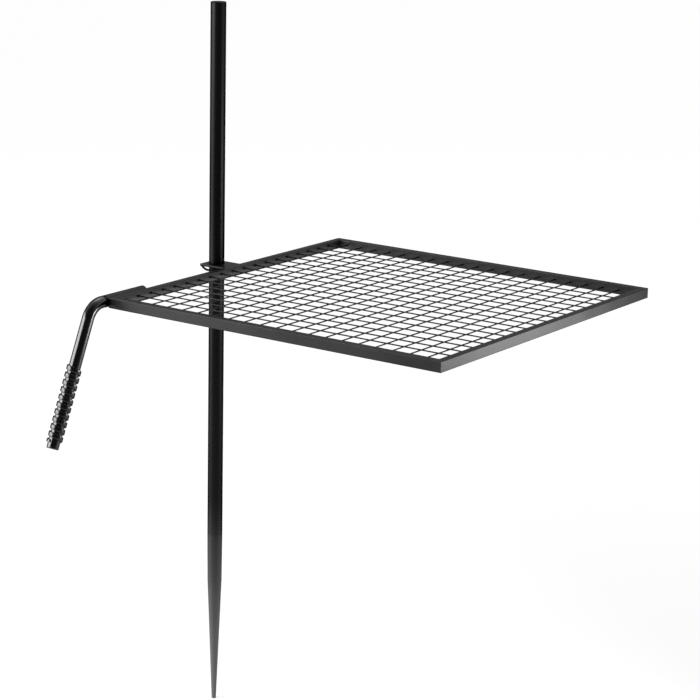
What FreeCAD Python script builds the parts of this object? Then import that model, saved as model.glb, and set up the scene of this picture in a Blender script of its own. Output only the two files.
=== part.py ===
import FreeCAD, Part

import math
import os

# Swivel grill on a ground stake: a square wire grate that slides and turns on an upright pole.
# Origin: on the pole's axis at the ground line. +X from the pole to the grate, +Y along the rail
# beside the pole, away from the handle, +Z up. Millimetres.

SIZES = [
    ("grate_side", 508.0, "outer side of the square frame"),
    ("grate_height", 392.0, "top of the frame above the ground line"),
    ("angle_leg", 14.0, "standing leg of the frame's angle bar"),
    ("flange_width", 10.0, "flange of the frame's angle bar"),
    ("angle_thickness", 3.2, "thickness of the angle bar"),
    ("angle_corner", 1.0, "rounded edges of the angle bar"),
    ("wire_diameter", 1.8, "grate wire"),
    ("wire_pitch", 24.9, "one wire to the next in a layer"),
    ("pole_diameter", 21.3, "outside of the pole"),
    ("pole_wall", 2.0, "wall of the pole"),
    ("pole_length", 748.0, "pole tube, from the ground line up"),
    ("rail_offset", 25.0, "pole axis to the outer face of the nearest rail"),
    ("spike_length", 250.0, "ground line to the tip"),
    ("shoulder_length", 70.0, "slow taper at the top of the spike"),
    ("neck_diameter", 20.1, "spike where the point starts"),
    ("tip_diameter", 6.3, "blunt end of the point"),
    ("spigot_length", 60.0, "part of the spike inside the pole"),
    ("cap_flange", 1.2, "straight edge of a tube cap"),
    ("cap_bevel", 0.8, "bevelled top of a tube cap"),
    ("cap_plug", 14.0, "part of a tube cap inside its tube"),
    ("plate_thickness", 2.5, "collar plate"),
    ("plate_width", 37.0, "collar plate along the rail"),
    ("plate_reach", 16.0, "collar plate past the pole's axis"),
    ("plate_corner", 3.0, "outer corners of the collar plate"),
    ("brace_diameter", 3.0, "brace rods under the collar plate"),
    ("brace_inset", 1.0, "edges of the plate to the nearest side of a brace"),
    ("brace_drop", 4.8, "underside of the plate down to a brace's level axis"),
    ("brace_bend", 14.0, "bow of a brace, on its axis"),
    ("saddle_thickness", 3.0, "notched plate under the collar plate"),
    ("saddle_width", 28.0, "notched plate along the rail"),
    ("saddle_reach", 3.0, "pole axis to the ends of the notch"),
    ("socket_diameter", 16.0, "outside of the handle socket"),
    ("socket_length", 76.0, "handle socket"),
    ("socket_drop", 6.35, "top of the frame down to the socket's axis"),
    ("rod_diameter", 16.0, "handle rod outside the socket"),
    ("tenon_diameter", 12.0, "thinner end of the rod, in the socket and the ring"),
    ("tenon_insert", 58.0, "part of the tenon inside the socket"),
    ("rod_lead", 1.1, "straight part between ring and bend"),
    ("bend_radius", 28.5, "bend of the rod, on its axis"),
    ("bend_angle", 66.2, "turn of the bend, in degrees"),
    ("shank_length", 172.0, "straight part below the bend"),
    ("rod_bevel", 1.2, "bevelled lower end of the rod"),
    ("ring_diameter", 15.6, "stop ring on the tenon"),
    ("ring_width", 4.0, "stop ring along the tenon"),
    ("coil_wire", 2.1, "wire of the grip"),
    ("coil_pitch", 9.7, "one turn of the grip along the rod"),
    ("coil_turns", 10.25, "turns of the grip"),
    ("coil_start", 64.7, "end of the bend to the first turn"),
    ("slide_gap", 0.3, "pole to the collar plate and the saddle"),
    ("fit_gap", 0.05, "radial clearance of a turning or pushed fit"),
    ("seat_gap", 0.02, "between welded pieces that touch along a line"),
]

ALONG_X = (FreeCAD.Vector(0, 1, 0), 90)
ALONG_Y = (FreeCAD.Vector(1, 0, 0), -90)
AGAINST_Y = (FreeCAD.Vector(1, 0, 0), 90)
UPRIGHT = (FreeCAD.Vector(0, 0, 1), 0)

# Places that several pieces share, as formulas of the sheet's values
MID_X = "sizes.rail_offset + sizes.grate_side / 2"
WIRE_SPAN = "sizes.grate_side - 2 * sizes.angle_thickness"
BORE = "sizes.pole_diameter / 2 - sizes.pole_wall"
RAIL_BOTTOM = "sizes.grate_height - sizes.angle_leg"
PLATE_BOTTOM = "sizes.grate_height - sizes.plate_thickness"
SOCKET_X = "sizes.rail_offset - sizes.socket_diameter / 2 - sizes.seat_gap"
SOCKET_Z = "sizes.grate_height - sizes.socket_drop"
SOCKET_BORE = "sizes.tenon_diameter / 2 + sizes.fit_gap"
MOUTH_Y = "-sizes.grate_side / 2"
SHOULDER_Y = f"{MOUTH_Y} - sizes.ring_width - sizes.fit_gap"
BEND_END_Y = f"{SHOULDER_Y} - sizes.rod_lead - sizes.bend_radius * sin(sizes.bend_angle * 1 deg)"
BEND_END_Z = f"{SOCKET_Z} - sizes.bend_radius * (1 - cos(sizes.bend_angle * 1 deg))"
SHANK_TURN = "90 deg + sizes.bend_angle * 1 deg"

doc = FreeCAD.newDocument("swivel_grill")
sheet = doc.addObject("Spreadsheet::Sheet", "sizes")
for row, (alias, value, meaning) in enumerate(SIZES, start=1):
    sheet.set(f"A{row}", alias)
    sheet.set(f"B{row}", str(value))
    sheet.setAlias(f"B{row}", alias)
    sheet.set(f"C{row}", meaning)
doc.recompute()

pieces = []


def size(alias):
    """Value of one driving dimension."""
    return float(getattr(sheet, alias))


def bind(item, formulas):
    """Tie properties of an object to formulas of the sheet's values."""
    for path, formula in formulas.items():
        item.setExpression(path, formula)
    return item


def place(item, x="0", y="0", z="0", turn=UPRIGHT):
    """Turn an object and tie its position to formulas."""
    axis, angle = turn
    item.Placement = FreeCAD.Placement(FreeCAD.Vector(), FreeCAD.Rotation(axis, angle))
    return bind(item, {"Placement.Base.x": x, "Placement.Base.y": y, "Placement.Base.z": z})


def piece(item, label):
    """Name a finished sub-part and keep it for export."""
    item.Label = label
    pieces.append(item)
    return item


def cylinder(name, radius, height, x="0", y="0", z="0", turn=UPRIGHT):
    """Round bar whose axis leaves (x, y, z) the way turn points."""
    item = bind(doc.addObject("Part::Cylinder", name), {"Radius": radius, "Height": height})
    return place(item, x, y, z, turn)


def cone(name, low, high, height, z, turn=UPRIGHT, x="0", y="0"):
    """Round taper from radius low to radius high."""
    item = bind(doc.addObject("Part::Cone", name), {"Radius1": low, "Radius2": high, "Height": height})
    return place(item, x, y, z, turn)


def box(name, length, width, height, x, y, z):
    """Block with its low corner at (x, y, z)."""
    item = bind(doc.addObject("Part::Box", name), {"Length": length, "Width": width, "Height": height})
    return place(item, x, y, z)


def cut(name, base, tool):
    """Base without tool."""
    item = doc.addObject("Part::Cut", name)
    item.Base = base
    item.Tool = tool
    return item


def fuse(name, shapes):
    """One solid of several that share faces."""
    item = doc.addObject("Part::MultiFuse", name)
    item.Shapes = shapes
    item.Refine = True
    return item


def tube(name, outer, inner, height, x="0", y="0", z="0", turn=UPRIGHT):
    """Round pipe."""
    skin = cylinder(f"{name}_skin", outer, height, x, y, z, turn)
    bore = cylinder(f"{name}_bore", inner, height, x, y, z, turn)
    return cut(f"{name}_pipe", skin, bore)


def rail(label, turn, x, y):
    """Mitred angle bar: standing leg along its own y = 0, flange on top at its own z = 0."""
    body = doc.addObject("PartDesign::Body", label)
    bar = body.newObject("PartDesign::AdditiveWedge", f"{label}_bar")
    half = "sizes.grate_side / 2"
    inner_half = f"({half} - sizes.flange_width)"
    low = "-sizes.angle_leg"
    bind(bar, {
        "Xmin": f"-{half}", "Xmax": half, "X2min": f"-{inner_half}", "X2max": inner_half,
        "Ymin": "0", "Ymax": "sizes.flange_width", "Zmin": low, "Zmax": "0", "Z2min": low, "Z2max": "0",
    })
    doc.recompute()
    long_edges = []
    for number, edge in enumerate(bar.Shape.Edges, start=1):
        start, end = [vertex.Point for vertex in edge.Vertexes]
        hidden = start.y > size("flange_width") / 2 and start.z < -size("angle_leg") / 2
        if abs(end.x - start.x) > size("grate_side") / 2 and not hidden:
            long_edges.append(f"Edge{number}")
    rounded = body.newObject("PartDesign::Fillet", f"{label}_corners")
    rounded.Base = (bar, long_edges)
    bind(rounded, {"Radius": "sizes.angle_corner"})
    hollow = body.newObject("PartDesign::SubtractiveBox", f"{label}_hollow")
    bind(hollow, {
        "Length": "sizes.grate_side", "Width": "sizes.flange_width", "Height": "sizes.angle_leg",
        "Placement.Base.x": f"-{half}", "Placement.Base.y": "sizes.angle_thickness",
        "Placement.Base.z": "-sizes.angle_leg - sizes.angle_thickness",
    })
    place(body, x, y, "sizes.grate_height", (FreeCAD.Vector(0, 0, 1), turn))
    return piece(body, label)


def grate_wires():
    """Two crossing layers of wires, welded to the standing legs of the frame."""
    radius = "sizes.wire_diameter / 2"
    upper = "sizes.grate_height - sizes.angle_leg / 2"
    lower = f"{upper} - sizes.wire_diameter - sizes.seat_gap"
    reach = (size("grate_side") / 2 - size("flange_width") - size("wire_diameter")) / size("wire_pitch")
    cross_count = 1 + 2 * math.floor(reach)
    long_count = 2 * math.floor(reach + 0.5)
    for number in range(1, cross_count + 1):
        aside = f"{number - (cross_count + 1) / 2} * sizes.wire_pitch"
        wire = cylinder(f"cross_{number}", radius, WIRE_SPAN,
                        "sizes.rail_offset + sizes.angle_thickness", aside, upper, ALONG_X)
        piece(wire, f"cross_wire_{number:02d}")
    for number in range(1, long_count + 1):
        aside = f"{MID_X} + {number - (long_count + 1) / 2} * sizes.wire_pitch"
        wire = cylinder(f"long_{number}", radius, WIRE_SPAN,
                        aside, "sizes.angle_thickness - sizes.grate_side / 2", lower, ALONG_Y)
        piece(wire, f"long_wire_{number:02d}")


def stake():
    """Pointed spike with a spigot, the pole that turns on it, and the pole's cap."""
    point_length = "sizes.spike_length - sizes.shoulder_length"
    point = cone("point", "sizes.tip_diameter / 2", "sizes.neck_diameter / 2",
                 point_length, "-sizes.spike_length")
    shoulder = cone("shoulder", "sizes.neck_diameter / 2", "sizes.pole_diameter / 2",
                    "sizes.shoulder_length", "-sizes.shoulder_length")
    spigot = cylinder("spigot", f"{BORE} - sizes.fit_gap", "sizes.spigot_length")
    piece(fuse("spike", [point, shoulder, spigot]), "ground_spike")
    piece(tube("pole", "sizes.pole_diameter / 2", BORE, "sizes.pole_length"), "pole_tube")
    cap("pole_cap", "sizes.pole_diameter / 2", BORE, z="sizes.pole_length")


def cap(label, radius, bore, x="0", y="0", z="0", turn=UPRIGHT):
    """Bevelled cap on a tube's end, with a plug in its bore."""
    plug_y = f"{y} - sizes.cap_plug" if turn is ALONG_Y else y
    plug_z = z if turn is ALONG_Y else f"{z} - sizes.cap_plug"
    rim_y = f"{y} + sizes.cap_flange" if turn is ALONG_Y else y
    rim_z = z if turn is ALONG_Y else f"{z} + sizes.cap_flange"
    plug = cylinder(f"{label}_plug", f"{bore} - sizes.fit_gap", "sizes.cap_plug", x, plug_y, plug_z, turn)
    flange = cylinder(f"{label}_flange", radius, "sizes.cap_flange", x, y, z, turn)
    bevel = cone(f"{label}_bevel", radius, f"{radius} - sizes.cap_bevel", "sizes.cap_bevel",
                 rim_z, turn, x, rim_y)
    return piece(fuse(f"{label}_solid", [plug, flange, bevel]), label)


def collar():
    """Plate against the rail with a hole for the pole, its two braces and the notched saddle below."""
    hole = "sizes.pole_diameter / 2 + sizes.slide_gap"
    body = doc.addObject("PartDesign::Body", "collar")
    blank = body.newObject("PartDesign::AdditiveBox", "collar_blank")
    bind(blank, {"Length": "sizes.plate_reach + sizes.rail_offset",
                 "Width": "sizes.plate_width", "Height": "sizes.plate_thickness"})
    doc.recompute()
    corners = []
    for number, edge in enumerate(blank.Shape.Edges, start=1):
        ends = [vertex.Point for vertex in edge.Vertexes]
        outer = max(end.x for end in ends) < size("fit_gap")
        if outer and abs(ends[1].z - ends[0].z) > size("fit_gap"):
            corners.append(f"Edge{number}")
    rounded = body.newObject("PartDesign::Fillet", "collar_corners")
    rounded.Base = (blank, corners)
    bind(rounded, {"Radius": "sizes.plate_corner"})
    bore = body.newObject("PartDesign::SubtractiveCylinder", "collar_hole")
    bind(bore, {"Radius": hole, "Height": "sizes.plate_thickness",
                "Placement.Base.x": "sizes.plate_reach", "Placement.Base.y": "sizes.plate_width / 2"})
    place(body, "-sizes.plate_reach", "-sizes.plate_width / 2", PLATE_BOTTOM)
    piece(body, "collar_plate")

    block = box("saddle_block", "sizes.rail_offset - sizes.saddle_reach", "sizes.saddle_width",
                "sizes.saddle_thickness", "sizes.saddle_reach", "-sizes.saddle_width / 2", RAIL_BOTTOM)
    notch = cylinder("saddle_notch", hole, "sizes.saddle_thickness", z=RAIL_BOTTOM)
    piece(cut("saddle", block, notch), "pole_saddle")

    brace("near_brace", "-")
    brace("far_brace", "")


def brace(label, sign):
    """Rod that leaves the plate's corner in a bow and runs level to the rail."""
    radius = "sizes.brace_diameter / 2"
    aside = f"{sign}(sizes.plate_width / 2 - sizes.brace_inset - {radius})"
    level = f"{PLATE_BOTTOM} - sizes.brace_drop"
    bow_run = "sqrt(sizes.brace_drop * (2 * sizes.brace_bend - sizes.brace_drop))"
    foot = f"{radius} * sizes.brace_bend / {bow_run}"
    bow_x = f"sizes.brace_inset + {foot} + {bow_run} - sizes.plate_reach"
    bow = bind(doc.addObject("Part::Torus", f"{label}_bow"),
               {"Radius1": "sizes.brace_bend", "Radius2": radius, "Angle3": "90"})
    place(bow, bow_x, aside, f"{level} + sizes.brace_bend")
    bow.Placement.Rotation = FreeCAD.Rotation(
        FreeCAD.Vector(0, 0, -1), FreeCAD.Vector(-1, 0, 0), FreeCAD.Vector(0, 1, 0), "XYZ")
    run = cylinder(f"{label}_run", radius, f"sizes.rail_offset - ({bow_x})", bow_x, aside, level, ALONG_X)
    reach = "sizes.brace_bend + sizes.brace_diameter"
    above = box(f"{label}_above", reach, "2 * sizes.brace_diameter", reach,
                f"{bow_x} - ({reach})", f"{aside} - sizes.brace_diameter", PLATE_BOTTOM)
    return piece(cut(f"{label}_rod", fuse(f"{label}_bar", [bow, run]), above), label)


def handle():
    """Socket tube on the rail, and the bent rod whose tenon pushes into it with the stop ring."""
    piece(tube("socket", "sizes.socket_diameter / 2", SOCKET_BORE, "sizes.socket_length",
               SOCKET_X, MOUTH_Y, SOCKET_Z, ALONG_Y), "handle_socket")
    cap("socket_cap", "sizes.socket_diameter / 2", SOCKET_BORE,
        SOCKET_X, f"{MOUTH_Y} + sizes.socket_length", SOCKET_Z, ALONG_Y)

    piece(tube("ring", "sizes.ring_diameter / 2", SOCKET_BORE, "sizes.ring_width",
               SOCKET_X, MOUTH_Y, SOCKET_Z, AGAINST_Y), "stop_ring")

    tenon = cylinder("rod_tenon", "sizes.tenon_diameter / 2",
                     "sizes.tenon_insert + sizes.ring_width + sizes.fit_gap",
                     SOCKET_X, f"{MOUTH_Y} + sizes.tenon_insert", SOCKET_Z, AGAINST_Y)
    radius = "sizes.rod_diameter / 2"
    lead = cylinder("rod_lead", radius, "sizes.rod_lead", SOCKET_X, SHOULDER_Y, SOCKET_Z, AGAINST_Y)
    bend = bind(doc.addObject("Part::Torus", "rod_bend"),
                {"Radius1": "sizes.bend_radius", "Radius2": radius, "Angle3": "sizes.bend_angle"})
    place(bend, SOCKET_X, f"{SHOULDER_Y} - sizes.rod_lead", f"{SOCKET_Z} - sizes.bend_radius")
    bend.Placement.Rotation = FreeCAD.Rotation(
        FreeCAD.Vector(0, 0, 1), FreeCAD.Vector(0, -1, 0), FreeCAD.Vector(1, 0, 0), "XYZ")
    straight = "(sizes.shank_length - sizes.rod_bevel)"
    shank = cylinder("rod_shank", radius, straight, SOCKET_X, BEND_END_Y, BEND_END_Z, AGAINST_Y)
    end_y, end_z = along_shank(straight)
    bevel = cone("rod_end", radius, f"{radius} - sizes.rod_bevel", "sizes.rod_bevel", end_z, AGAINST_Y,
                 SOCKET_X, end_y)
    for item in (shank, bevel):
        bind(item, {"Placement.Rotation.Angle": SHANK_TURN})
    piece(fuse("rod", [tenon, lead, bend, shank, bevel]), "handle_rod")


def along_shank(distance):
    """Formulas of y and z at some distance below the bend, on the axis of the rod."""
    return (f"{BEND_END_Y} - {distance} * cos(sizes.bend_angle * 1 deg)",
            f"{BEND_END_Z} - {distance} * sin(sizes.bend_angle * 1 deg)")


def helix_point(radius, pitch, turns):
    """Point and direction of a left-handed helix about +Z after some turns, starting at -X."""
    angle = math.pi - 2 * math.pi * turns
    point = FreeCAD.Vector(radius * math.cos(angle), radius * math.sin(angle), pitch * turns)
    way = FreeCAD.Vector(radius * math.sin(angle), -radius * math.cos(angle), pitch / (2 * math.pi))
    return point, way.normalize()


def biarc(start, start_way, end, end_way):
    """Two arcs that share a tangent, between two points with given directions."""
    chord = end - start
    ways = start_way + end_way
    spread = 2 * (1 - start_way.dot(end_way))
    reach = (math.sqrt(chord.dot(ways) ** 2 + spread * chord.dot(chord)) - chord.dot(ways)) / spread
    first = start + start_way * reach
    second = end - end_way * reach
    joint = (first + second) * 0.5
    arcs = []
    for low, knee, high in ((start, first, joint), (joint, second, end)):
        weight = (knee - low).normalize().dot((high - low).normalize())
        middle = (low + knee * (2 * weight) + high) * (1 / (2 + 2 * weight))
        arcs.append(Part.Arc(low, middle, high).toShape())
    return arcs


def grip():
    """Wire wound on the lower end of the rod in one unbroken helix."""
    quarters_per_turn = 4
    wire = size("coil_wire")
    pitch = size("coil_pitch")
    turns = size("coil_turns")
    radius = size("rod_diameter") / 2 + size("fit_gap") + wire / 2
    quarters = int(round(turns * quarters_per_turn))
    knots = [helix_point(radius, pitch, turns * index / quarters) for index in range(quarters + 1)]
    arcs = []
    for (start, start_way), (end, end_way) in zip(knots, knots[1:]):
        arcs.extend(biarc(start, start_way, end, end_way))
    path = Part.Wire(arcs)
    point, way = knots[0]
    section = Part.Wire([Part.makeCircle(wire / 2, point, way)])
    shell = Part.BRepOffsetAPI.MakePipeShell(path)
    shell.add(section)
    shell.build()
    shell.makeSolid()
    item = doc.addObject("Part::Feature", "grip")
    item.Shape = shell.shape()
    start_y, start_z = along_shank("sizes.coil_start")
    place(item, SOCKET_X, start_y, start_z, AGAINST_Y)
    bind(item, {"Placement.Rotation.Angle": SHANK_TURN})
    print_coil_gap(radius, pitch, turns, wire)
    return piece(item, "grip_coil")


def print_coil_gap(radius, pitch, turns, wire):
    """Least gap of the wound wire to itself, between points more than half a turn apart."""
    samples_per_turn = 48
    points = [helix_point(radius, pitch, index / samples_per_turn)[0]
              for index in range(int(turns * samples_per_turn) + 1)]
    apart = samples_per_turn // 2
    nearest = min(points[0].distanceToPoint(other) for other in points[apart:])
    print(f"grip coil: least gap to itself {nearest - wire:.2f} mm")


def export():
    """Check every object and every sub-part, then write one file for each sub-part."""
    doc.recompute()
    for item in doc.Objects:
        if "Invalid" in item.State or "Error" in item.State:
            raise RuntimeError(f"{item.Name} is in state {item.State}")
    for item in pieces:
        if item.Shape.isNull() or not item.Shape.isValid() or len(item.Shape.Solids) != 1:
            raise RuntimeError(f"{item.Label} is not one valid solid")
    os.makedirs("parts", exist_ok=True)
    for item in pieces:
        item.Shape.exportStep(f"parts/{item.Label}.step")
        limits = item.Shape.BoundBox
        print(f"{item.Label}: volume {item.Shape.Volume:.0f} mm3, "
              f"{limits.XLength:.1f} x {limits.YLength:.1f} x {limits.ZLength:.1f} mm")


stake()
rail("front_rail", 0, MID_X, "-sizes.grate_side / 2")
rail("right_rail", 90, f"{MID_X} + sizes.grate_side / 2", "0")
rail("back_rail", 180, MID_X, "sizes.grate_side / 2")
rail("left_rail", 270, "sizes.rail_offset", "0")
grate_wires()
collar()
handle()
grip()
export()
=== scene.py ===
"""Looks of a swivel grill on a ground stake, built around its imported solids. Sizes are in metres."""

import logging
import math
from abc import ABC, abstractmethod
from dataclasses import dataclass, field
from enum import Enum
from typing import Any, Iterable, Mapping, Union

import bmesh
import bpy
from mathutils import Matrix, Vector


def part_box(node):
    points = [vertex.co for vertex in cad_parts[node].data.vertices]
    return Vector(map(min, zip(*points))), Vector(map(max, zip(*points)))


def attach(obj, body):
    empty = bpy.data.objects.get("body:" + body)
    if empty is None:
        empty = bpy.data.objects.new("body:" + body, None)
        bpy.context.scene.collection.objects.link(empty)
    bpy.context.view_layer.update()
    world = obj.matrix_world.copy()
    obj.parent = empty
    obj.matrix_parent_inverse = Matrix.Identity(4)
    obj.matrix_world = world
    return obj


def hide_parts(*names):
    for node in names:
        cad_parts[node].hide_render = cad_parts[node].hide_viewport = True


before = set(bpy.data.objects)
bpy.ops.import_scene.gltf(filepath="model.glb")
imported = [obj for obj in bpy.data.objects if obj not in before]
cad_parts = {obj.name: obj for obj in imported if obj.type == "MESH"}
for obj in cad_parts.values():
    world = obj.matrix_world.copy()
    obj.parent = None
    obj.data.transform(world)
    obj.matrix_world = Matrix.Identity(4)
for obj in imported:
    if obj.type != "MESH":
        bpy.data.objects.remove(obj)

LOG = logging.getLogger("grill")
IMAGE_SIDE = 700
SENSOR_MM = 36.0
RIGHT_ANGLE = math.radians(90)
NOISE_MIDDLE = 0.5

Colour = tuple[float, float, float]
Triple = tuple[float, float, float]
Span = tuple[float, float]
Key = Union[int, str]
Value = Union[float, tuple, "Signal"]


class Body(Enum):
    """Moving bodies that carry new pieces."""

    GRATE = "grate"
    HANDLE = "handle"


class Slot(Enum):
    """Finishes named by the record."""

    FRAME = "frame_paint"
    WIRE = "wire_paint"
    POLE = "pole_paint"
    SPIKE = "spike_paint"
    HANDLE = "handle_paint"
    GRIP = "grip_paint"


class Signal:
    """An output socket whose arithmetic adds Math nodes to its graph."""

    def __init__(self, graph: "Graph", socket: bpy.types.NodeSocket) -> None:
        """Keep the graph and the socket.

        Args:
            graph: Graph that the socket's node belongs to.
            socket: Output socket to wrap.
        """
        self.graph = graph
        self.socket = socket

    def also(self, output: Key) -> "Signal":
        """Another output of the same node."""
        return Signal(self.graph, Graph.find(self.socket.node.outputs, output))

    def _math(self, operation: str, left: Value, right: Value = 0.0) -> "Signal":
        """One Math node.

        Args:
            operation: Name of the operation.
            left: First value.
            right: Second value.

        Returns:
            The node's result.
        """
        return self.graph.node("ShaderNodeMath", 0, {"operation": operation}, {0: left, 1: right})

    def __add__(self, other: Value) -> "Signal":
        """Sum with another value."""
        return self._math("ADD", self, other)

    __radd__ = __add__

    def __sub__(self, other: Value) -> "Signal":
        """This less another value."""
        return self._math("SUBTRACT", self, other)

    def __rsub__(self, other: Value) -> "Signal":
        """Another value less this."""
        return self._math("SUBTRACT", other, self)

    def __mul__(self, other: Value) -> "Signal":
        """Product with another value."""
        return self._math("MULTIPLY", self, other)

    __rmul__ = __mul__

    def __abs__(self) -> "Signal":
        """Size of this value without its sign."""
        return self._math("ABSOLUTE", self)

    def larger(self, other: Value) -> "Signal":
        """The larger of this and another value."""
        return self._math("MAXIMUM", self, other)

    def clamped(self) -> "Signal":
        """This value held between 0 and 1."""
        return self._math("MAXIMUM", self._math("MINIMUM", self, 1.0), 0.0)


class Graph:
    """Nodes of one material or of the world."""

    def __init__(self, tree: bpy.types.NodeTree) -> None:
        """Start from an empty node tree."""
        self.tree = tree
        tree.nodes.clear()

    @staticmethod
    def find(sockets: Iterable[bpy.types.NodeSocket], key: Key) -> bpy.types.NodeSocket:
        """Socket with a given place, identifier or name.

        Args:
            sockets: Inputs or outputs of a node.
            key: Place, identifier or name of the socket.

        Returns:
            The first socket that fits.
        """
        listed = list(sockets)
        if isinstance(key, int):
            return listed[key]
        by_identifier = [socket for socket in listed if socket.identifier == key]
        return (by_identifier or [socket for socket in listed if socket.name == key])[0]

    def node(self, kind: str, output: Key, settings: Mapping[str, Any],
             inputs: Mapping[Key, Value]) -> Signal:
        """Add a node, set it up and feed it.

        Args:
            kind: Type of the node.
            output: Output to hand back.
            settings: Properties of the node, set first.
            inputs: Values or signals by socket.

        Returns:
            The asked output.
        """
        made = self.tree.nodes.new(kind)
        for name, setting in settings.items():
            setattr(made, name, setting)
        for key, value in inputs.items():
            socket = self.find(made.inputs, key)
            if isinstance(value, Signal):
                self.tree.links.new(value.socket, socket)
            else:
                socket.default_value = value
        return Signal(self, self.find(made.outputs, output))

    def close(self, kind: str, surface: Signal) -> None:
        """Join a shader to the tree's output node."""
        made = self.tree.nodes.new(kind)
        self.tree.links.new(surface.socket, self.find(made.inputs, "Surface"))

    def axes(self, place: Signal) -> tuple[Signal, Signal, Signal]:
        """X, Y and Z of a place."""
        x = self.node("ShaderNodeSeparateXYZ", "X", {}, {"Vector": place})
        return x, x.also("Y"), x.also("Z")

    def blend(self, factor: Value, low: Value, high: Value) -> Signal:
        """Colour between two colours.

        Args:
            factor: 0 for low and 1 for high.
            low: First colour.
            high: Second colour.

        Returns:
            The blended colour.
        """
        return self.node("ShaderNodeMix", "Result_Color", {"data_type": "RGBA"},
                         {"Factor_Float": factor, "A_Color": low, "B_Color": high})

    def noise(self, place: Signal, scale: float, detail: float,
              stretch: Triple = (1.0, 1.0, 1.0)) -> Signal:
        """Soft noise in the object's own space.

        Args:
            place: Coordinates.
            scale: Waves per metre.
            detail: Finer layers on top.
            stretch: Scale of each axis before the noise.

        Returns:
            A value around NOISE_MIDDLE.
        """
        stretched = self.node("ShaderNodeMapping", "Vector", {}, {"Vector": place, "Scale": stretch})
        return self.node("ShaderNodeTexNoise", "Fac", {},
                         {"Vector": stretched, "Scale": scale, "Detail": detail})

    def ramp(self, value: Signal, start: float, end: float) -> Signal:
        """Smooth step of a value.

        Args:
            value: What is stepped.
            start: Where the step is 0.
            end: Where the step is 1.

        Returns:
            A value from 0 to 1.
        """
        return self.node("ShaderNodeMapRange", "Result", {"interpolation_type": "SMOOTHSTEP"},
                         {"Value": value, "From Min": start, "From Max": end})


def opaque(colour: Colour) -> tuple[float, float, float, float]:
    """Colour with full cover, as sockets take it."""
    return (*colour, 1.0)


def grey(level: float) -> Colour:
    """Colour without a hue."""
    return (level, level, level)


def frame_corners() -> tuple[Vector, Vector]:
    """Lowest and highest corner of the frame's four bars."""
    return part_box("left_rail")[0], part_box("right_rail")[1]


@dataclass(frozen=True)
class Layer(ABC):
    """A tone that shows on part of a paint."""

    colour: Colour
    roughness: float
    metallic: float

    @abstractmethod
    def cover(self, graph: Graph, place: Signal) -> Signal:
        """Where the tone shows, from 0 to 1; each kind of layer says where."""


@dataclass(frozen=True)
class WornTip(Layer):
    """Steel that shows where the paint thins towards the tip of the spike."""

    shoulder_z: float
    bare_z: float
    streak_reach: float = 0.05
    streak_scale: float = 160.0
    streak_detail: float = 4.0
    streak_stretch: Triple = (1.0, 1.0, 0.16)

    def cover(self, graph: Graph, place: Signal) -> Signal:
        """How far the paint has gone, in streaks.

        Args:
            graph: Graph to add to.
            place: Coordinates.

        Returns:
            0 above the shoulder, and 1 where the steel is bare.
        """
        _, _, height = graph.axes(place)
        streak = graph.noise(place, self.streak_scale, self.streak_detail, self.streak_stretch)
        worn = height + (streak - NOISE_MIDDLE) * self.streak_reach
        return graph.ramp(worn, self.shoulder_z, self.bare_z)


@dataclass(frozen=True)
class BelowTop(Layer):
    """A painted shade or light that stays off the flat top of the frame."""

    top_blend: Span = field(default=(0.0004, 0.0012), kw_only=True)

    def below_top(self, graph: Graph, height: Signal) -> Signal:
        """0 at the height of the frame's top, and 1 below it."""
        _, high = frame_corners()
        return graph.ramp(high.z - height, *self.top_blend)


@dataclass(frozen=True)
class PaintedInnerLightShade(BelowTop):
    """Painted shade or painted light on the bars' inner sides, over one stretch along X."""

    none_x: float
    full_x: float
    rim_blend: Span = (0.0010, 0.0024)

    def cover(self, graph: Graph, place: Signal) -> Signal:
        """Where the painted shade or light goes: what lies inside the frame's outer faces, within the
        stretch.

        Args:
            graph: Graph to add to.
            place: Coordinates.

        Returns:
            1 on the inner sides, and 0 on outer sides and tops.
        """
        x, y, z = graph.axes(place)
        low, high = frame_corners()
        depth = (high.x - low.x) / 2 - abs(x - (low.x + high.x) / 2).larger(abs(y))
        inner = graph.ramp(depth, *self.rim_blend) * self.below_top(graph, z)
        return inner * graph.ramp(x, self.none_x, self.full_x)


@dataclass(frozen=True)
class PaintedCollarShade(BelowTop):
    """Painted shade on the collar's edges, outside the frame and below its top, dimming the highlight on the
    plate's near edge.
    """

    none_y: float = 0.040
    full_y: float = 0.030
    rail_blend: float = 0.0010

    def cover(self, graph: Graph, place: Signal) -> Signal:
        """What stands out from the rail beside the pole.

        Args:
            graph: Graph to add to.
            place: Coordinates.

        Returns:
            1 on the edges of the plate and on what is under it, and 0 on its top.
        """
        x, y, z = graph.axes(place)
        low, _ = frame_corners()
        outside = graph.ramp(x, low.x, low.x - self.rail_blend)
        beside = graph.ramp(abs(y), self.none_y, self.full_y)
        return outside * beside * self.below_top(graph, z)


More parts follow.
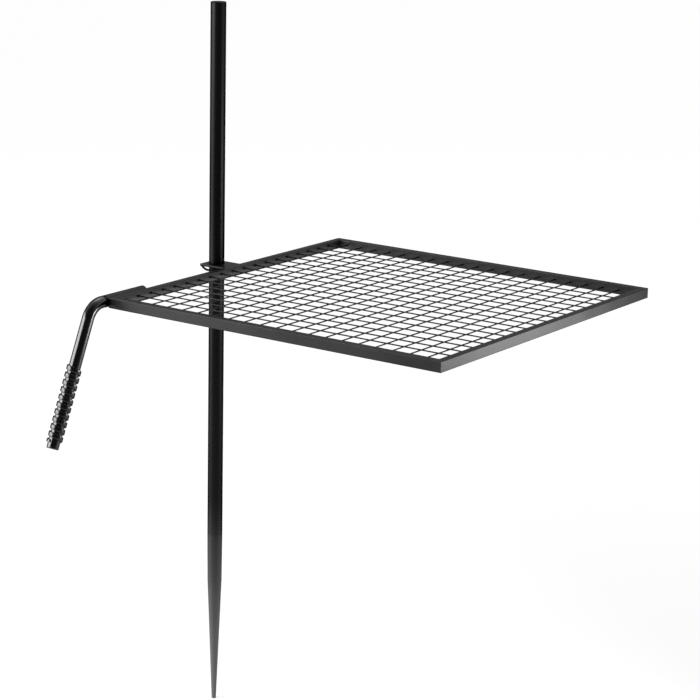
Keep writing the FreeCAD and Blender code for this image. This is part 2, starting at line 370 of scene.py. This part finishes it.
@dataclass(frozen=True)
class Paint:
    """Black paint baked on steel: a cloud of tone, a fine grain, its gloss and the layers on it, which are
    wear or painted light and shade.
    """

    name: str
    deep: Colour
    pale: Colour
    roughness: float
    edge: float
    layers: tuple[Layer, ...] = ()
    metallic: float = 1.0
    roughness_spread: float = 0.10
    cloud_scale: float = 9.0
    cloud_detail: float = 3.0
    cloud_span: Span = (0.3, 0.7)
    cloud_stretch: Triple = (1.0, 1.0, 1.0)
    grain_scale: float = 620.0
    grain_detail: float = 2.0
    grain_height: float = 0.00005
    grain_strength: float = 0.35

    def material(self) -> bpy.types.Material:
        """Build the finish.

        Returns:
            A node material.
        """
        made = bpy.data.materials.new(self.name)
        made.use_nodes = True
        graph = Graph(made.node_tree)
        place = graph.node("ShaderNodeTexCoord", "Object", {}, {})
        cloud = graph.noise(place, self.cloud_scale, self.cloud_detail, self.cloud_stretch)
        grain = graph.noise(place, self.grain_scale, self.grain_detail)
        colour = graph.blend(graph.ramp(cloud, *self.cloud_span), opaque(self.deep), opaque(self.pale))
        roughness = self.roughness + (cloud + grain - 2 * NOISE_MIDDLE) * self.roughness_spread
        metallic: Value = self.metallic
        for layer in self.layers:
            cover = layer.cover(graph, place)
            colour = graph.blend(cover, colour, opaque(layer.colour))
            roughness = roughness + cover * (layer.roughness - self.roughness)
            if layer.metallic != self.metallic:
                metallic = cover * (layer.metallic - self.metallic) + metallic
        bump = graph.node("ShaderNodeBump", "Normal", {},
                          {"Strength": self.grain_strength, "Distance": self.grain_height, "Height": grain})
        surface = graph.node("ShaderNodeBsdfPrincipled", "BSDF", {}, {
            "Base Color": colour,
            "Roughness": roughness.clamped(),
            "Metallic": metallic,
            "Specular Tint": opaque(grey(self.edge)),
            "Normal": bump,
        })
        graph.close("ShaderNodeOutputMaterial", surface)
        return made


FINISHES: dict[Slot, Paint] = {
    Slot.FRAME: Paint("frame_black", grey(0.044), grey(0.057), roughness=0.40, edge=0.47, layers=(
        # Painted shade: darkens the inner sides of the front, right and back bars below the frame's top.
        PaintedInnerLightShade(grey(0.042), roughness=0.50, metallic=1.0, none_x=0.040, full_x=0.055),
        # Painted light: brightens the left bar's inner side.
        PaintedInnerLightShade(grey(0.090), roughness=0.50, metallic=1.0, none_x=0.055, full_x=0.040),
        # Painted shade: darkens the collar plate's edges and what is under it.
        PaintedCollarShade(grey(0.014), roughness=0.60, metallic=1.0),
    )),
    Slot.WIRE: Paint("wire_black", grey(0.034), grey(0.046), roughness=0.42, edge=0.36),
    Slot.POLE: Paint("pole_black", grey(0.017), grey(0.024), roughness=0.34, edge=0.25, layers=(
        WornTip(grey(0.055), roughness=0.45, metallic=1.0, shoulder_z=0.06, bare_z=-0.02),
    ), cloud_scale=14.0, cloud_stretch=(1.0, 1.0, 0.2)),
    Slot.SPIKE: Paint("spike_grey", grey(0.048), grey(0.058), roughness=0.38, edge=0.40, layers=(
        WornTip(grey(0.21), roughness=0.62, metallic=0.0, shoulder_z=0.03, bare_z=-0.25),
    )),
    Slot.HANDLE: Paint("handle_black", grey(0.080), grey(0.100), roughness=0.17, edge=0.27,
                       roughness_spread=0.06, grain_strength=0.10),
    Slot.GRIP: Paint("grip_black", grey(0.080), grey(0.100), roughness=0.20, edge=0.20,
                     roughness_spread=0.08, grain_strength=0.12),
}


class Palette:
    """Materials of the finishes, each built once."""

    def __init__(self) -> None:
        """Build every finish of the record."""
        self.made = {slot: paint.material() for slot, paint in FINISHES.items()}

    def dress_node(self, node: str, slot: Slot) -> None:
        """Give a solid of the part its finish.

        Args:
            node: Name of the solid.
            slot: Finish to give it.
        """
        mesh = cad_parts[node].data
        mesh.materials.clear()
        mesh.materials.append(self.made[slot])
        LOG.info("%s: %s", node, self.made[slot].name)


class Workpiece:
    """A mesh in the making, which becomes one piece of the grill."""

    DROP_SUBDIVISIONS = 2
    DROP_SPACING = 0.8
    DROP_HEIGHT = 0.9
    RIPPLE = 0.12
    RIPPLE_TURN = 2.4
    SHARP_ANGLE = math.radians(50)

    def __init__(self) -> None:
        """Start an empty mesh."""
        self.mesh = bmesh.new()

    def blob(self, centre: Vector, radii: Vector, along: Vector = Vector((1, 0, 0))) -> None:
        """Add a flattened drop of weld metal.

        Args:
            centre: Middle of the drop.
            radii: Half sizes along, across and up.
            along: Direction of its first half size.
        """
        turn = along.to_track_quat("X", "Z").to_matrix().to_4x4()
        matrix = Matrix.Translation(centre) @ turn @ Matrix.Diagonal((*radii, 1.0))
        bmesh.ops.create_icosphere(self.mesh, subdivisions=self.DROP_SUBDIVISIONS, radius=1.0, matrix=matrix)

    def bead(self, start: Vector, end: Vector, radius: float) -> None:
        """Add a rippled weld between two points.

        Args:
            start: First drop.
            end: Last drop.
            radius: Half width of the weld.
        """
        run = end - start
        count = max(2, round(run.length / (radius * self.DROP_SPACING)))
        for step in range(count + 1):
            swell = 1.0 + self.RIPPLE * math.sin(step * self.RIPPLE_TURN)
            radii = Vector((radius, radius * swell, radius * self.DROP_HEIGHT * swell))
            self.blob(start + run * (step / count), radii, run.normalized())

    def finish(self, name: str, body: Body, slot: Slot, palette: Palette) -> bpy.types.Object:
        """Turn the mesh into a piece that rides on a body.

        Args:
            name: Name of the piece.
            body: Body that carries it.
            slot: Finish of the piece.
            palette: Materials to take the finish from.

        Returns:
            The finished object.
        """
        mesh = bpy.data.meshes.new(name)
        self.mesh.to_mesh(mesh)
        self.mesh.free()
        mesh.shade_smooth()
        mesh.set_sharp_from_angle(angle=self.SHARP_ANGLE)
        mesh.materials.append(palette.made[slot])
        piece = bpy.data.objects.new(name, mesh)
        bpy.context.scene.collection.objects.link(piece)
        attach(piece, body.value)
        LOG.info("%s: %d faces on %s", name, len(mesh.polygons), body.value)
        return piece


@dataclass
class Stake:
    """Pointed spike, pole and the pole's cap."""

    finishes: dict[str, Slot] = field(default_factory=lambda: {
        "ground_spike": Slot.SPIKE, "pole_tube": Slot.POLE, "pole_cap": Slot.POLE})

    def dress(self, palette: Palette) -> None:
        """Give each solid its finish."""
        for node, slot in self.finishes.items():
            palette.dress_node(node, slot)


@dataclass
class Grate:
    """Angle-bar frame with two layers of wires welded to its standing legs."""

    pole_side_weld: Triple = (0.0022, 0.0024, 0.0024)
    other_weld: Triple = (0.0014, 0.0014, 0.0014)

    def wires(self, layer: str = "") -> list[str]:
        """Names of the wires of one layer, or of all."""
        return sorted(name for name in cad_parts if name.startswith(layer) and "_wire_" in name)

    def rails(self) -> list[str]:
        """Names of the four bars of the frame."""
        return sorted(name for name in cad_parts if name.endswith("_rail"))

    def dress(self, palette: Palette) -> None:
        """Give bars and wires their finishes.

        Args:
            palette: Materials to take the finishes from.
        """
        for node in self.rails():
            palette.dress_node(node, Slot.FRAME)
        for node in self.wires():
            palette.dress_node(node, Slot.WIRE)

    def build(self, palette: Palette) -> None:
        """Add a drop of weld where each wire ends on a leg.

        Args:
            palette: Materials to take the finish from.
        """
        for layer, axis in (("cross", 0), ("long", 1)):
            for side, sign in (("low", 1.0), ("high", -1.0)):
                at_pole = (layer, side) == ("cross", "low")
                radii = Vector(self.pole_side_weld if at_pole else self.other_weld)
                inward = Vector((0.0, 0.0, 0.0))
                inward[axis] = sign
                welds = Workpiece()
                for node in self.wires(layer):
                    low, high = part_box(node)
                    centre = (low + high) / 2
                    centre[axis] = low[axis] if side == "low" else high[axis]
                    welds.blob(centre, radii, inward)
                welds.finish(f"{layer}_{side}_weld_drops", Body.GRATE, Slot.WIRE, palette)


@dataclass
class Collar:
    """Plate that holds the pole, with its braces, its saddle and their welds."""

    bead_radius: float = 0.0012
    bead_inset: float = 0.0024
    seam_sink: float = 0.0008
    brace_drop: float = 0.0018
    braces: tuple[str, ...] = ("near_brace", "far_brace")

    def dress(self, palette: Palette) -> None:
        """Give plate, saddle and braces the finish of the frame."""
        for node in ("collar_plate", "pole_saddle", *self.braces):
            palette.dress_node(node, Slot.FRAME)

    def build(self, palette: Palette) -> None:
        """Weld plate, saddle and braces to the rail.

        Args:
            palette: Materials to take the finish from.
        """
        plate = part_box("collar_plate")
        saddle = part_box("pole_saddle")
        seams = Workpiece()
        for (low, high), z in ((plate, plate[1].z - self.seam_sink), (plate, plate[0].z),
                               (saddle, saddle[1].z)):
            start = Vector((high.x, low.y + self.bead_inset, z))
            seams.bead(start, Vector((high.x, high.y - self.bead_inset, z)), self.bead_radius)
        seams.finish("collar_seam_welds", Body.GRATE, Slot.FRAME, palette)

        drops = Workpiece()
        radii = Vector((self.bead_radius, self.brace_drop, self.brace_drop))
        for node in self.braces:
            low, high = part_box(node)
            half = (high.y - low.y) / 2
            middle_y = (low.y + high.y) / 2
            drops.blob(Vector((high.x, middle_y, low.z + half)), radii)
            drops.blob(Vector((low.x + half, middle_y, high.z)), radii, Vector((0, 0, 1)))
        drops.finish("brace_weld_drops", Body.GRATE, Slot.FRAME, palette)


@dataclass
class Handle:
    """Socket on the rail, the bent rod in it, its stop ring and the wound grip."""

    turns: float = 10.25
    wound_length: float = 0.0996
    steps_per_turn: int = 32
    pitch: float = 0.0097
    strip_width: float = 0.0064
    strip_thickness: float = 0.0021
    strip_corner: float = 0.0009
    corner_segments: int = 3
    merge_distance: float = 0.00001
    rod_radius: float = 0.008
    rod_gap: float = 0.00005
    rod_lead: float = 0.0011
    bend_radius: float = 0.0285
    bend_angle: float = math.radians(66.2)
    coil_start: float = 0.0647
    bead_radius: float = 0.0017
    bead_length: float = 0.018
    bead_inset: float = 0.0034
    bead_sink: float = 0.00119

    def dress(self, palette: Palette) -> None:
        """Give the rod a gloss, the ring the pole's darker black as painted shade for the shadowed gap at
        the socket's mouth, and the socket the finish of the frame.

        Args:
            palette: Materials to take the finishes from.
        """
        palette.dress_node("handle_rod", Slot.HANDLE)
        # Painted shade: the ring takes the darker pole finish to stand for the shadow at the socket's mouth.
        palette.dress_node("stop_ring", Slot.POLE)
        for node in ("handle_socket", "socket_cap"):
            palette.dress_node(node, Slot.FRAME)

    def build(self, palette: Palette) -> None:
        """Wind the grip and weld the socket.

        Args:
            palette: Materials to take the finish from.
        """
        grip = self.wind().finish("grip_winding", Body.HANDLE, Slot.GRIP, palette)
        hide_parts("grip_coil")

        low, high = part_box("handle_socket")
        rail_low, rail_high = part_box("left_rail")
        welds = Workpiece()
        for z in (rail_high.z - self.bead_sink, rail_low.z + self.bead_sink):
            for y, way in ((low.y, 1.0), (high.y, -1.0)):
                start = Vector((rail_low.x - self.bead_radius, y + way * self.bead_inset, z))
                welds.bead(start, start + Vector((0.0, way * self.bead_length, 0.0)), self.bead_radius)
        welds.finish("socket_welds", Body.GRATE, Slot.FRAME, palette)

    def coil_place(self) -> Vector:
        """Where the winding starts on the axis of the rod, behind the ring, the bend and a bare stretch.

        Returns:
            The point in the part's frame.
        """
        low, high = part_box("stop_ring")
        level = math.cos(self.bend_angle)
        steep = math.sin(self.bend_angle)
        bend_start = (low + high) / 2
        bend_start.y = low.y - self.rod_gap - self.rod_lead
        bend = Vector((0.0, -steep, level - 1.0)) * self.bend_radius
        return bend_start + bend + Vector((0.0, -level, -steep)) * self.coil_start

    def wind(self) -> Workpiece:
        """Flattened strip wound round the rod in one left-handed helix, its lower end ground flat.

        Returns:
            The mesh of the strip.
        """
        work = Workpiece()
        middle = self.rod_radius + self.rod_gap + self.strip_thickness / 2
        stand = Matrix.Translation((middle, 0, 0)) @ Matrix.Rotation(RIGHT_ANGLE, 4, "X")
        shape = stand @ Matrix.Diagonal((self.strip_thickness / 2, self.strip_width / 2, 1.0, 1.0))
        bmesh.ops.create_grid(work.mesh, x_segments=1, y_segments=1, size=1.0, matrix=shape)
        bmesh.ops.bevel(work.mesh, geom=work.mesh.verts[:], offset=self.strip_corner, offset_type="OFFSET",
                        segments=self.corner_segments, profile=0.5, affect="VERTICES", material=-1)
        steps = round(self.turns * self.steps_per_turn)
        bmesh.ops.spin(work.mesh, geom=work.mesh.faces[:] + work.mesh.edges[:] + work.mesh.verts[:],
                       cent=(0, 0, 0), axis=(0, 0, 1), dvec=(0, 0, self.pitch / self.steps_per_turn),
                       angle=-2 * math.pi * self.turns, steps=steps, use_duplicate=False)
        for vert in work.mesh.verts:
            vert.co.z = min(vert.co.z, self.wound_length)
        bmesh.ops.remove_doubles(work.mesh, verts=work.mesh.verts[:], dist=self.merge_distance)
        lean = Matrix.Rotation(RIGHT_ANGLE + self.bend_angle, 4, "X")
        seat = Matrix.Translation(self.coil_place()) @ lean @ Matrix.Rotation(math.pi, 4, "Z")
        bmesh.ops.transform(work.mesh, matrix=seat, verts=work.mesh.verts[:])
        bmesh.ops.recalc_face_normals(work.mesh, faces=work.mesh.faces[:])
        return work


@dataclass(frozen=True)
class Softbox:
    """One flat studio lamp."""

    name: str
    place: Triple
    aim: Triple
    width: float
    height: float
    radiance: float

    def build(self) -> bpy.types.Object:
        """Hang the lamp.

        Returns:
            The lamp.
        """
        data = bpy.data.lights.new(self.name, "AREA")
        data.shape = "RECTANGLE"
        data.size = self.width
        data.size_y = self.height
        data.energy = self.radiance * math.pi * self.width * self.height
        lamp = bpy.data.objects.new(self.name, data)
        bpy.context.scene.collection.objects.link(lamp)
        lamp.location = self.place
        lamp.rotation_euler = (Vector(self.aim) - Vector(self.place)).to_track_quat("-Z", "Y").to_euler()
        lamp.visible_camera = False
        return lamp


@dataclass
class Studio:
    """Pale floor, soft lamps, surroundings and camera."""

    camera_place: Triple = (1.9128, -2.4186, 1.0585)
    yaw: float = math.radians(34.88)
    pitch: float = math.radians(14.32)
    roll: float = math.radians(1.25)
    focal_px: float = 2286.0
    clip_end: float = 200.0
    floor_reach: float = 60.0
    floor_colour: Colour = grey(0.82)
    floor_lift_near: float = 0.51
    floor_lift_far: float = 0.79
    floor_blend: float = 3.0
    fill: float = 0.24
    floor_gloss: float = 1.0
    wall_gloss: float = 0.8
    front: Triple = (0.554, -0.795, 0.247)
    dark_blend: Span = (-0.35, 0.75)
    dark_share: float = 0.06
    lamps: tuple[Softbox, ...] = (
        Softbox("top_box", (-0.3, 0.9, 2.4), (0.2, 0.0, 0.3), width=1.6, height=1.6, radiance=1.5),
        Softbox("right_box", (0.9, 0.34, 0.3), (0.53, -0.15, 0.385), width=0.26, height=0.22, radiance=12.9),
        Softbox("left_box", (-1.12, -0.88, 0.14), (0.0, -0.10, 0.35), width=1.30, height=0.72, radiance=2.3),
        Softbox("key_box", (-0.98, -1.29, 0.85), (0.02, -0.31, 0.30), width=1.50, height=0.70, radiance=5.8),
    )

    def build(self) -> None:
        """Set up floor, lamps, surroundings, camera and colour handling."""
        self.lay_floor()
        for lamp in self.lamps:
            lamp.build()
            LOG.info("%s hung", lamp.name)
        self.surround()
        self.place_camera()
        bpy.context.scene.view_settings.view_transform = "Standard"

    def seen(self, graph: Graph, way: Signal, level: float) -> tuple[Signal, Signal]:
        """How white the surroundings are for the camera, and in a gloss or a glass.

        Args:
            graph: Graph to add to.
            way: Direction from the grill.
            level: Strength in a gloss on the bright side.

        Returns:
            Strength for the rays that see, and 1 for the rays that only light.
        """
        facing = graph.node("ShaderNodeVectorMath", "Value", {"operation": "DOT_PRODUCT"},
                            {0: way, 1: self.front})
        shade = level - graph.ramp(facing, *self.dark_blend) * (level * (1.0 - self.dark_share))
        camera = graph.node("ShaderNodeLightPath", "Is Camera Ray", {}, {})
        gloss = (camera.also("Is Glossy Ray") + camera.also("Is Transmission Ray")).clamped()
        return camera + gloss * shade, (1.0 - camera - gloss).clamped()

    def lay_floor(self) -> None:
        """Wide pale floor under the tip of the spike."""
        low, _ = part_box("ground_spike")
        sheet = bmesh.new()
        bmesh.ops.create_grid(sheet, x_segments=1, y_segments=1, size=self.floor_reach,
                              matrix=Matrix.Translation((0, 0, low.z)))
        mesh = bpy.data.meshes.new("floor")
        sheet.to_mesh(mesh)
        sheet.free()
        floor = bpy.data.objects.new("floor", mesh)
        bpy.context.scene.collection.objects.link(floor)
        mesh.materials.append(self.floor_material())

    def floor_material(self) -> bpy.types.Material:
        """Dull pale floor that the camera and a gloss see lifted towards white.

        Returns:
            A node material.
        """
        material = bpy.data.materials.new("pale_floor")
        material.use_nodes = True
        graph = Graph(material.node_tree)
        dull = graph.node("ShaderNodeBsdfDiffuse", "BSDF", {}, {"Color": opaque(self.floor_colour)})
        place = graph.node("ShaderNodeTexCoord", "Object", {}, {})
        reach = graph.node("ShaderNodeVectorMath", "Value", {"operation": "LENGTH"}, {0: place})
        rise = graph.ramp(reach, 0.0, self.floor_blend) * (self.floor_lift_far - self.floor_lift_near)
        way = graph.node("ShaderNodeVectorMath", "Vector", {"operation": "NORMALIZE"}, {0: place})
        seen, _ = self.seen(graph, way, self.floor_gloss)
        lift = graph.node("ShaderNodeEmission", "Emission", {},
                          {"Strength": seen * (rise + self.floor_lift_near)})
        both = graph.node("ShaderNodeAddShader", "Shader", {}, {0: dull, 1: lift})
        graph.close("ShaderNodeOutputMaterial", both)
        return material

    def surround(self) -> None:
        """White surroundings, darker on the side that the grill faces."""
        world = bpy.data.worlds.new("studio")
        bpy.context.scene.world = world
        world.use_nodes = True
        graph = Graph(world.node_tree)
        way = graph.node("ShaderNodeTexCoord", "Generated", {}, {})
        seen, lighting = self.seen(graph, way, self.wall_gloss)
        surface = graph.node("ShaderNodeBackground", "Background", {}, {
            "Color": opaque(grey(1.0)), "Strength": seen + lighting * self.fill})
        graph.close("ShaderNodeOutputWorld", surface)

    def place_camera(self) -> None:
        """Camera at the photograph's viewing angle."""
        data = bpy.data.cameras.new("camera")
        data.sensor_width = SENSOR_MM
        data.lens = self.focal_px * SENSOR_MM / IMAGE_SIDE
        data.clip_end = self.clip_end
        camera = bpy.data.objects.new("camera", data)
        bpy.context.scene.collection.objects.link(camera)
        turn = (Matrix.Rotation(self.yaw, 4, "Z") @ Matrix.Rotation(RIGHT_ANGLE - self.pitch, 4, "X")
                @ Matrix.Rotation(self.roll, 4, "Z"))
        camera.matrix_world = Matrix.Translation(self.camera_place) @ turn
        bpy.context.scene.camera = camera


def main() -> None:
    """Dress the grill and set up the studio."""
    logging.basicConfig(level=logging.INFO, format="%(message)s")
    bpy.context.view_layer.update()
    Studio().build()
    palette = Palette()
    Stake().dress(palette)
    for assembly in (Grate(), Collar(), Handle()):
        assembly.dress(palette)
        assembly.build(palette)


if __name__ == "__main__":
    main()
